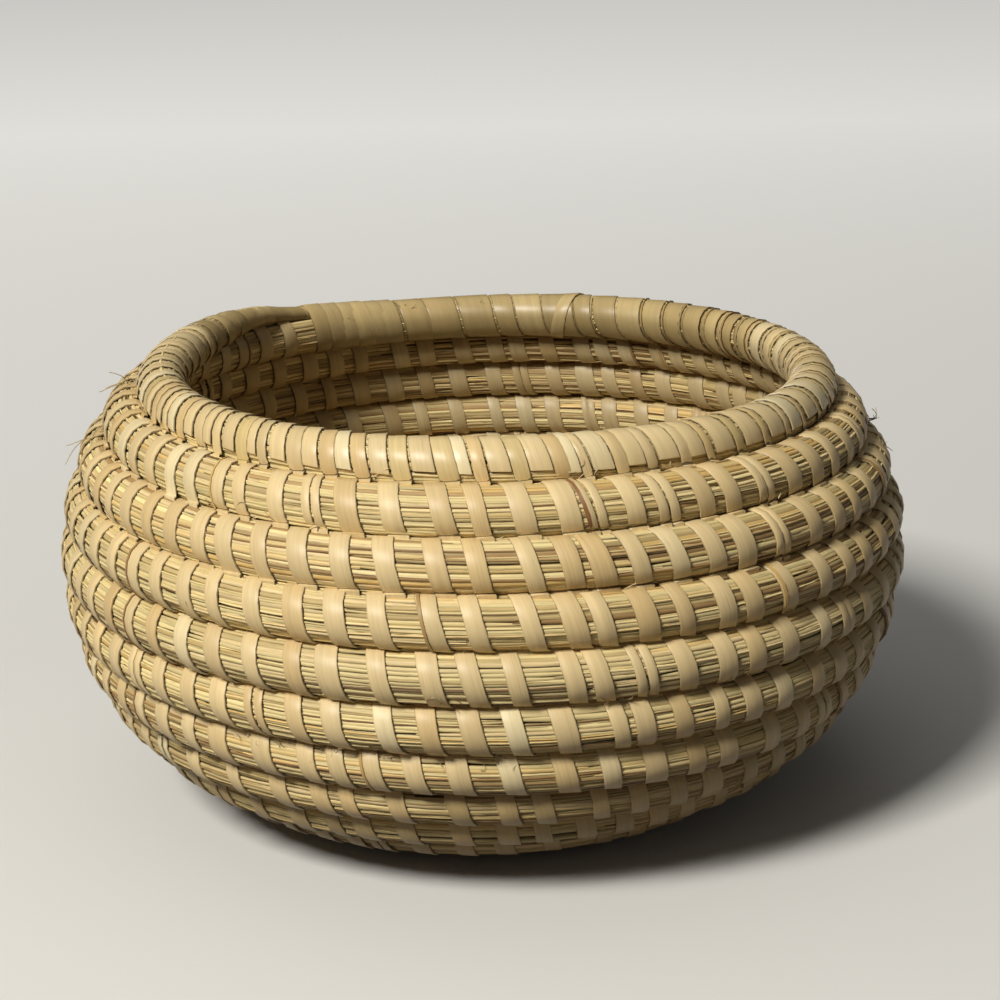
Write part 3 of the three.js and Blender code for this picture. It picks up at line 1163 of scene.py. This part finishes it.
@dataclass(frozen=True)
class Rim:
    """The close wrapping of the last round, and the binding over the thin end of the coil.

    Wraps come in pairs: a long one, and a short one half of the way to the next pair.
    """

    stitching: Stitching
    thickness: float = 0.42
    tilt: float = 0.2
    tilts: RoundRim = RoundRim((70, 110, 175, 200, 285, 310), (-1, 0.3, 0.4, 1, 1, -1))  # share of the tilt
    lines: RoundRim = RoundRim((120, 135, 170, 200), (1, 0.4, 0.5, 1))  # share of the stitches' painted shadow line
    short_share: RoundRim = RoundRim(  # of a pair, that its short wrap takes
        (0, 35, 55, 120, 135, 200, 262, 285, 320, 360),
        (0.74, 0.7, 1.01, 1.01, 0.66, 0.52, 0.5, 0.6, 0.7, 0.74),
    )
    cover: RoundRim = RoundRim(  # share of its room that a pair covers
        (35, 55, 120, 135, 200, 262, 285, 320),
        (0.96, 0.97, 0.97, 1.04, 1.0, 0.97, 0.97, 0.96),
    )
    hidden_share: float = 0.2  # share that a long wrap takes where short ones lie over it
    hidden_sink: float = 0.25
    width_noise: float = 0.012
    long_start: Triple = (0.7, 0.75, 0.9)  # share of its width that a long wrap has at its start
    low: float = -50.0  # start of a short wrap, in degrees about the bundle
    low_noise: float = 3.0
    low_end: Span = (-6.0, -5.0)  # of its tucked end from there
    low_lift: Span = (-0.8, 0.3)
    high: float = 246.0
    high_end: Span = (254.0, 262.0)
    high_lift: Span = (0.15, -1.2)
    seat: float = 0.36
    back_side: Span = (30.0, 165.0)  # azimuths seen from above, in degrees
    edged_side: Span = (28.0, 64.0)
    edged_share: float = 0.6  # of wraps with a brown edge, at that side
    edge_width: float = 0.5
    edge_offset: float = -0.45  # in widths of its wrap
    edge_lift: float = 0.2
    band_width: float = 6.4  # of the smooth first wrap, over the tip of the thin end
    binding_wraps: int = 5
    binding_spacing: float = 3.9
    binding_room: float = 0.7  # share of their spacing between the binding and the wrapping
    binding_width: Span = (1.1, 1.3)  # in spacings
    binding_step: float = 0.12  # lift of every second wrap over the others
    bulge: float = 2.5  # of the binding, over the tip of the thin end
    bulge_middle: float = 64.0  # in degrees about the bundle
    bulge_width: float = 34.0
    bulge_wraps: float = 6.5  # over which it comes down
    bare_end: float = 30.0  # length of the thin end that is sheathed and not wrapped
    sheath_spacing: float = 6.5
    sheath_width: float = 1.7  # in spacings
    sheath_way: Span = (-70.0, 290.0)  # about the bundle, in degrees
    sheath_lean: float = 0.4  # to each side, in spacings
    sheath_seat: float = 0.12
    sheath_tilt: float = 0.03
    # painted shadow line and painted shade of the underside edges, for the sheath's wraps
    sheath_edge_shadow: float = 0.14
    sheath_shade: float = 0.6
    crossing_azimuth: float = math.radians(70)
    crossing_width: float = 5.0
    crossing_lift: float = 0.3
    bright: Mix = Mix(((Shade.CREAM, 2), (Shade.LEAF, 4)), 0.035)
    quiet: Mix = Mix(((Shade.LEAF, 3), (Shade.WARM, 2), (Shade.TAN, 2)), 0.045)
    back: Mix = Mix(((Shade.OLIVE, 5), (Shade.DULL, 2.5)), 0.045)

    def share(self, kind: WrapKind, azimuth: float) -> float:
        """Share of a pair's room that one of its wraps takes.

        Args:
            kind: which of the two.
            azimuth: where it is on the rim, in degrees.

        Returns:
            The share.
        """
        short = self.short_share.at(azimuth)
        share = short if kind is WrapKind.SHORT else max(1 - short, self.hidden_share)
        return self.cover.at(azimuth) * share

    def mix(self, kind: WrapKind, azimuth: float) -> Mix:
        """Colours of a kind of wrap, by where it is on the rim.

        Args:
            kind: the kind.
            azimuth: where it is on the rim, in degrees.

        Returns:
            The mix that its colour is picked from.
        """
        if self.back_side[0] < azimuth < self.back_side[1]:
            return self.back
        return self.bright if kind is WrapKind.SHORT else self.quiet

    def wrap(self, bench: Bench, turn: float, kind: WrapKind, span: float, tint: np.ndarray) -> Strip:
        """One wrap of the rim.

        Args:
            bench: what it is made with.
            turn: turn at which it starts, outside and below.
            kind: whether it reaches into the round below.
            span: its width, as a share of a round.
            tint: its colour.

        Returns:
            The wrap.
        """
        azimuth, stations = bench.coil.degrees(turn), bench.stations
        # the wrap's painted shadow line along its edges
        line = self.stitching.edge_shadow * self.lines.at(azimuth)
        tilt = self.tilt * self.tilts.at(azimuth)
        stitch = replace(self.stitching, thickness=self.thickness, tilt=tilt, edge_shadow=line)
        strip = stitch.strip(bench, turn, 1.0, tint)
        ends = np.ones(stations)
        if kind is WrapKind.SHORT:
            low = self.low + bench.rng.normal(0, self.low_noise)
            own = stations - len(self.low_end) - len(self.high_end)
            way = [low + np.array(self.low_end), np.linspace(low, self.high, own), self.high_end]
            strip.angle = np.radians(np.concatenate(way))
            share = (strip.angle - strip.angle[0]) / (strip.angle[-1] - strip.angle[0])
            strip.turn = turn + (strip.turn[-1] - turn) * share
            strip.lift = np.concatenate([self.low_lift, np.full(own, self.seat), self.high_lift])
        else:
            ends[:len(self.long_start)] = self.long_start
        radius = np.hypot(*bench.coil.place(strip.turn, strip.angle, strip.lift)[:, :2].T)
        strip.width = span * CIRCLE * radius * ends * (1 + bench.rng.normal(0, self.width_noise, stations))
        return strip

    def build(self, bench: Bench, guides: np.ndarray) -> list[bpy.types.Object]:
        """Builds the wrapping and the binding.

        Args:
            bench: what they are made with.
            guides: turns of the stitches in the round below, one round on.

        Returns:
            The two pieces.
        """
        coil = bench.coil
        per_length = coil.turns_in(1.0, coil.rim_start)
        wrapping, binding = (
            StripPiece(name, bench, self.stitching.smooth_degrees)
            for name in ("rim_wrap_splint", "end_binding_splint")
        )
        bound = self.band_width / 2 + self.binding_wraps * self.binding_spacing
        last = coil.rounds - self.bare_end * per_length
        starts = guides[(guides > coil.rim_start + per_length * bound) & (guides < last)]
        for turn, after in zip(starts[:-1], starts[1:]):
            self._pair(bench, wrapping, turn, after - turn)
        for strip in self._sheath(bench, last, per_length):
            wrapping.add(strip)
        wrapping.add(self._crossing(bench, per_length))
        self._bind(bench, binding, (starts[0] - coil.rim_start) / per_length, per_length)
        return write_pieces({"rim_wrap": wrapping, "end_binding": binding})

    def _pair(self, bench: Bench, wrapping: StripPiece, turn: float, room: float) -> None:
        """Adds a long wrap and a short one, with their brown edges.

        Args:
            bench: what they are made with.
            wrapping: the piece that they are added to.
            turn: turn at which the long one starts.
            room: share of a round that the pair has.
        """
        azimuth = bench.coil.degrees(turn)
        shares = {kind: self.share(kind, azimuth) for kind in (WrapKind.LONG, WrapKind.SHORT)}
        for kind, share in shares.items():
            tint = self.mix(kind, azimuth).pick(bench.rng)
            at = turn + (0.5 * room if kind is WrapKind.SHORT else 0.0)
            span = share * room
            strip = self.wrap(bench, at, kind, span, tint)
            if kind is WrapKind.LONG and sum(shares.values()) > 1:
                strip.lift = strip.lift - self.hidden_sink
            wrapping.add(strip)
            edged = self.edged_side[0] < azimuth < self.edged_side[1]
            if edged and bench.rng.uniform() < self.edged_share:
                width = bench.coil.turns_in(self.edge_width, bench.coil.rim_start)
                tint = self.stitching.edged.pick(bench.rng)
                edge = self.wrap(bench, at + self.edge_offset * span, kind, width, tint)
                edge.lift = edge.lift + self.edge_lift
                wrapping.add(edge)

    def _bind(self, bench: Bench, binding: StripPiece, length: float, per_length: float) -> None:
        """Adds a smooth band and narrow, overlapping wraps that tie the thin end down.

        Args:
            bench: what they are made with.
            binding: the piece that they are added to.
            length: length of the rim that they have.
            per_length: share of a round to a millimetre.
        """
        spacing = (length - self.band_width / 2) / (self.binding_wraps + self.binding_room)
        for index in range(self.binding_wraps + 1):
            width, along = self.band_width, self.band_width / 3
            if index > 0:
                width = spacing * bench.rng.uniform(*self.binding_width)
                along = self.band_width / 2 + index * spacing
            turn = bench.coil.rim_start + per_length * along
            strip = self.wrap(bench, turn, WrapKind.SHORT, width * per_length, self.back.pick(bench.rng))
            bulge = np.exp(-((np.degrees(strip.angle) - self.bulge_middle) / self.bulge_width) ** 2)
            bulge = bulge * max(0.0, 1 - index / self.bulge_wraps)
            strip.lift = strip.lift + self.bulge * bulge + self.binding_step * (index % 2)
            binding.add(strip)

    def _sheath(self, bench: Bench, start: float, per_length: float) -> list[Strip]:
        """Wide, smooth wraps that sheathe the thin end as far as its tip.

        Args:
            bench: what they are made with.
            start: turn at which the wrapping ends.
            per_length: share of a round to a millimetre.

        Returns:
            The wraps.
        """
        end = bench.coil.rounds + (bench.coil.tip_under + self.sheath_spacing / 2) * per_length
        spacing = self.sheath_spacing * per_length
        strips = []
        for turn in np.arange(start - spacing / 2, end, spacing):
            tint = self.back.pick(bench.rng)
            span = self.sheath_width * self.sheath_spacing * per_length
            strip = self.wrap(bench, turn, WrapKind.SHORT, span, tint)
            strip.angle = np.radians(np.linspace(*self.sheath_way, bench.stations))
            strip.turn = turn + spacing * np.linspace(-self.sheath_lean, self.sheath_lean, bench.stations)
            strip.lift = np.full(bench.stations, self.sheath_seat)
            strip.tilt, strip.edge_shadow = self.sheath_tilt, self.sheath_edge_shadow
            strip.edge_shade = self.sheath_shade
            strips.append(strip)
        return strips

    def _crossing(self, bench: Bench, per_length: float) -> Strip:
        """The one wrap at the back that crosses the others.

        Args:
            bench: what it is made with.
            per_length: share of a round to a millimetre.

        Returns:
            The wrap.
        """
        turn = bench.coil.rim_start + (bench.coil.end_azimuth - self.crossing_azimuth) / CIRCLE
        tint = self.back.pick(bench.rng)
        strip = self.wrap(bench, turn, WrapKind.SHORT, self.crossing_width * per_length, tint)
        strip.turn = 2 * turn - strip.turn
        strip.lift = strip.lift + self.crossing_lift
        return strip


@dataclass(frozen=True)
class Tuft:
    """A spot where fibres stand off the basket."""

    azimuth: float  # degrees, seen from above
    row: int  # counted down from the rim, which is row 1
    angle: float  # about the bundle, in degrees
    fibres: int
    length: float
    reach: float  # how far off the bundle the fibres end
    spread: float  # along the coil
    shade: Shade


@dataclass(frozen=True)
class LooseEnds:
    """Frayed fibres that stand off the sewing."""

    whiskers: int = 180
    whisker_length: float = 4.5
    whisker_reach: float = 0.7
    whisker_angle: float = -74.0  # about the bundle, in degrees
    whisker_turns: Span = (5.0, 0.9)  # from the base's middle and from the rim's start
    angle_noise: float = 6.0
    width: float = 0.3
    width_spread: Span = (0.6, 1.4)
    thinning: float = 0.7  # share of its width that a fibre loses towards its tip
    thickness: float = 0.2
    length_spread: Span = (0.5, 1.4)
    heading: float = 0.7  # to each side of the coil's line, in radians
    curl: float = 2.4  # along a fibre, in radians
    root: float = 0.35  # lift of a fibre's root
    reach_spread: Span = (0.4, 1.3)
    rise: Span = (0.9, 1.8)  # power by which a fibre rises
    brightness: Span = (0.7, 1.05)
    # painted shade of a fibre's underside edges
    edge_shade: float = 0.7
    smooth_degrees: float = 60.0
    tufts: tuple[Tuft, ...] = (
        Tuft(2.0, 3, 60.0, 11, 5.5, 5.0, 2.5, Shade.BROWN),
        Tuft(352.0, 3, 20.0, 2, 3.5, 2.0, 4.0, Shade.DULL),
        Tuft(12.0, 2, 70.0, 3, 4.0, 2.6, 3.0, Shade.BROWN),
        Tuft(181.0, 2, 48.0, 6, 8.0, 4.5, 9.0, Shade.DULL),
        Tuft(188.0, 3, 40.0, 5, 7.0, 3.5, 8.0, Shade.DULL),
        Tuft(118.0, 1, 88.0, 3, 2.6, 2.2, 2.0, Shade.WARM),
        Tuft(104.0, 1, 86.0, 4, 2.6, 2.6, 4.0, Shade.BROWN),
        Tuft(90.0, 1, 88.0, 1, 2.0, 2.0, 1.0, Shade.BROWN),
        Tuft(259.0, 7, 66.0, 34, 2.4, 0.5, 32.0, Shade.GREY),
        Tuft(240.0, 7, 66.0, 16, 2.4, 0.5, 18.0, Shade.GREY),
        Tuft(286.0, 5, -62.0, 6, 4.5, 1.4, 5.0, Shade.WARM),
        Tuft(302.0, 5, -66.0, 6, 4.5, 1.6, 5.0, Shade.BROWN),
        Tuft(266.0, 5, -58.0, 5, 5.0, 1.4, 6.0, Shade.BROWN),
        Tuft(284.0, 1, -60.0, 9, 3.4, 1.0, 30.0, Shade.LEAF),
        Tuft(232.0, 2, -66.0, 7, 3.2, 1.2, 14.0, Shade.LEAF),
    )
    mix: Mix = Mix(((Shade.LEAF, 3), (Shade.STRAW, 2), (Shade.BROWN, 1.5), (Shade.DULL, 1)))

    def fibre(self, bench: Bench, turn: float, angle: float, length: float, reach: float,
              tint: np.ndarray) -> Strip:
        """One curled fibre.

        Args:
            bench: what it is made with.
            turn: turn at its root.
            angle: its root's place about the bundle, in degrees.
            length: its length along the bundle's surface.
            reach: lift of its tip.
            tint: its colour.

        Returns:
            The fibre.
        """
        coil, rng, stations = bench.coil, bench.rng, bench.stations
        share = np.linspace(0, 1, stations)
        length = length * rng.uniform(*self.length_spread)
        heading = rng.normal(0, self.heading) + math.pi * (rng.uniform() < 0.5)
        heading = heading + rng.normal(0, self.curl) * share
        along, across = (np.cumsum(part) * length / stations for part in (np.cos(heading), np.sin(heading)))
        return Strip(
            lie=Lie.ALONG,
            turn=turn + coil.turns_in(along, turn),
            angle=math.radians(angle) + across / coil.bundle_radius,
            lift=self.root + reach * rng.uniform(*self.reach_spread) * share ** rng.uniform(*self.rise),
            width=self.width * rng.uniform(*self.width_spread) * (1 - self.thinning * share),
            thickness=self.thickness,
            tint=tint,
            edge_shade=self.edge_shade,
        )

    def build(self, bench: Bench) -> bpy.types.Object:
        """Builds the tufts, and short whiskers scattered over the stitches' lower ends.

        Args:
            bench: what the fibres are made with.

        Returns:
            The piece.
        """
        coil, rng = bench.coil, bench.rng
        piece = StripPiece("loose_fibres", bench, self.smooth_degrees)
        for tuft in self.tufts:
            from_end = ((math.radians(tuft.azimuth) - coil.end_azimuth) / CIRCLE) % 1
            turn = coil.rounds - from_end - (tuft.row - 1)
            for _ in range(tuft.fibres):
                root = turn + coil.turns_in(rng.normal(0, tuft.spread / 2), turn)
                tint = tuft.shade.light * rng.uniform(*self.brightness)
                angle = tuft.angle + rng.normal(0, self.angle_noise)
                piece.add(self.fibre(bench, root, angle, tuft.length, tuft.reach, tint))
        lowest, past_rim = self.whisker_turns
        for turn in rng.uniform(lowest, coil.rim_start + past_rim, self.whiskers):
            angle, tint = rng.normal(self.whisker_angle, self.angle_noise), self.mix.pick(rng)
            piece.add(self.fibre(bench, turn, angle, self.whisker_length, self.whisker_reach, tint))
        return piece.write()


@dataclass(frozen=True)
class SoftLight:
    """A square soft light that faces the basket. Its places and sizes are in metres."""

    name: str
    watts: float
    size: float
    at: Triple
    colour: Triple  # as linear light
    aim: Triple = (0.0, 0.0, 0.06)

    def build(self) -> None:
        """Builds the light."""
        data = bpy.data.lights.new(self.name, "AREA")
        data.energy, data.size, data.color = self.watts, self.size, self.colour
        light = bpy.data.objects.new(self.name, data)
        light.location = self.at
        light.rotation_euler = (Vector(self.aim) - Vector(self.at)).to_track_quat("-Z", "Y").to_euler()
        bpy.context.scene.collection.objects.link(light)


@dataclass(frozen=True)
class Studio:
    """A pale floor, soft light and a camera at the photograph's angle."""

    camera_at: Triple = (0.0, -659.0, 282.8)
    pitch: float = math.radians(17.06)
    yaw: float = math.radians(0.45)
    roll: float = math.radians(-1.09)
    lens: float = 86.4
    sensor: float = 36.0
    nearest: float = 0.01  # that the camera sees, in metres
    lights: tuple[SoftLight, ...] = (
        SoftLight("key", 72.0, 0.6, (-1.12, -1.5, 1.86), (1.0, 0.975, 0.92)),
        SoftLight("overhead", 6.0, 2.4, (-0.3, 0.5, 2.2), (1.0, 0.99, 0.97)),
    )
    world_colour: Triple = (1.0, 0.98, 0.95)
    world_level: float = 0.08
    floor_size: float = 40.0  # in metres
    floor_drop: float = 0.0002  # below the basket, in metres
    floor_roughness: float = 0.8
    floor_colour: Triple = (226, 225, 221)
    bounce_colour: Triple = (60, 47, 36)  # of the floor, as it lights the basket
    far_glow: float = 0.54  # of the floor's far part, so that it doesn't grey out
    glow_start: float = 0.1  # in metres
    glow_end: float = 1.3

    def build(self) -> None:
        """Builds the stage."""
        self._floor()
        for light in self.lights:
            light.build()
        world = bpy.data.worlds.new("studio")
        world.use_nodes = True
        background = world.node_tree.nodes["Background"]
        background.inputs["Color"].default_value = (*self.world_colour, 1.0)
        background.inputs["Strength"].default_value = self.world_level
        scene = bpy.context.scene
        scene.world = world
        scene.view_settings.view_transform = "Standard"
        scene.camera = self._camera()

    def _floor(self) -> None:
        """A plain pale floor under the basket."""
        deselect()
        bpy.ops.mesh.primitive_plane_add(size=self.floor_size, location=(0.0, 0.0, -self.floor_drop))
        floor = bpy.context.active_object
        floor.name = "studio_floor"
        material, graph, shader = new_material("studio_floor")
        path = graph.add("ShaderNodeLightPath", {}).outputs
        seen = path["Is Camera Ray"]
        for ray in ("Is Glossy Ray", "Is Transmission Ray"):
            seen = graph.sum("MAXIMUM", seen, path[ray])
        colours = {"A": opaque(self.bounce_colour), "B": opaque(self.floor_colour)}
        colour = graph.add("ShaderNodeMix", {"Factor": seen} | colours, data_type="RGBA")
        place = graph.add("ShaderNodeTexCoord", {}).outputs["Object"]
        far = graph.add("ShaderNodeMapRange", {
            "Value": graph.add("ShaderNodeSeparateXYZ", {0: place}).outputs["Y"],
            "From Min": self.glow_start,
            "From Max": self.glow_end,
            "To Max": self.far_glow,
        })
        graph.feed(shader, {
            "Base Color": colour.outputs["Result"],
            "Roughness": self.floor_roughness,
            "Emission Color": opaque(self.floor_colour),
            "Emission Strength": graph.sum("MULTIPLY", far.outputs["Result"], seen),
        })
        floor.data.materials.append(material)

    def _camera(self) -> bpy.types.Object:
        """The camera, turned by its yaw, pitch and roll.

        Returns:
            The camera.
        """
        (cy, cp, cr), (sy, sp, sr) = (
            [ratio(angle) for angle in (self.yaw, self.pitch, self.roll)] for ratio in (math.cos, math.sin)
        )
        right, ahead = Vector((cy, -sy, 0)), Vector((sy * cp, cy * cp, -sp))
        up = Vector((sy * sp, cy * sp, cp))
        turned = Matrix((right * cr + up * sr, up * cr - right * sr, -ahead)).transposed().to_4x4()
        data = bpy.data.cameras.new("camera")
        data.lens, data.sensor_width, data.clip_start = self.lens, self.sensor, self.nearest
        camera = bpy.data.objects.new("camera", data)
        camera.matrix_world = Matrix.Translation(Vector(self.camera_at) * MM) @ turned
        bpy.context.scene.collection.objects.link(camera)
        return camera


NEEDLE = FibreFinish("dry_needle", roughness=0.56, specular=0.4, line_width=0.2, line_length=8.0,
                     line_contrast=0.75, streak_contrast=0.4, fleck_contrast=1.7, relief=0.06)
LEAF = FibreFinish("dry_leaf", roughness=0.47, specular=0.5, line_width=0.3, line_length=14.0,
                   line_contrast=0.25, streak_contrast=0.28, fleck_contrast=0.8, relief=0.04)
RIM_LEAF = FibreFinish("worn_leaf", roughness=0.4, specular=0.5, line_width=0.4, line_length=16.0,
                       line_contrast=0.25, streak_contrast=0.3, fleck_contrast=0.6, relief=0.03)

NEEDLE_SECTION = ((-1, 0), (1, 0), (0.68, 0.76), (0, 1), (-0.68, 0.76))
NEEDLE_SEGMENTS = 16
SPLINT_SECTION = ((-1, 0), (1, 0), (0.96, 0.8), (0.87, 1), (-0.87, 1), (-0.96, 0.8))
SPLINT_SEGMENTS = 17
HAIR_SECTION = ((-1, 0), (1, 0), (0, 1))
HAIR_SEGMENTS = 8


def place_piece(piece: bpy.types.Object) -> None:
    """Sets a piece on the basket's body and logs how many faces it has.

    Args:
        piece: the piece.
    """
    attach(piece, "root")
    LOG.info("%s: %d faces", piece.name, len(piece.data.polygons))


def main() -> None:
    """Builds the basket and its stage."""
    logging.basicConfig(level=logging.INFO, format="%(message)s")
    rng = np.random.default_rng(SEED)
    coil = CoilLine()
    needle = Blank.modelled(NEEDLE_SECTION, NEEDLE_SEGMENTS)
    splint = Blank.modelled(SPLINT_SECTION, SPLINT_SEGMENTS)
    leaf, rim_leaf = LEAF.material(), RIM_LEAF.material()
    for piece in NeedleBundle().build(Bench(coil, needle, NEEDLE.material(), rng)):
        place_piece(piece)
    stitching = Stitching()
    turns = stitching.turns(coil, coil.rim_start, rng)
    for piece in stitching.build(Bench(coil, splint, leaf, rng), turns):
        place_piece(piece)
    for piece in Rim(stitching).build(Bench(coil, splint, rim_leaf, rng), turns + 1):
        place_piece(piece)
    hair = Blank.modelled(HAIR_SECTION, HAIR_SEGMENTS)
    place_piece(LooseEnds().build(Bench(coil, hair, leaf, rng)))
    Studio().build()


if __name__ == "__main__":
    main()
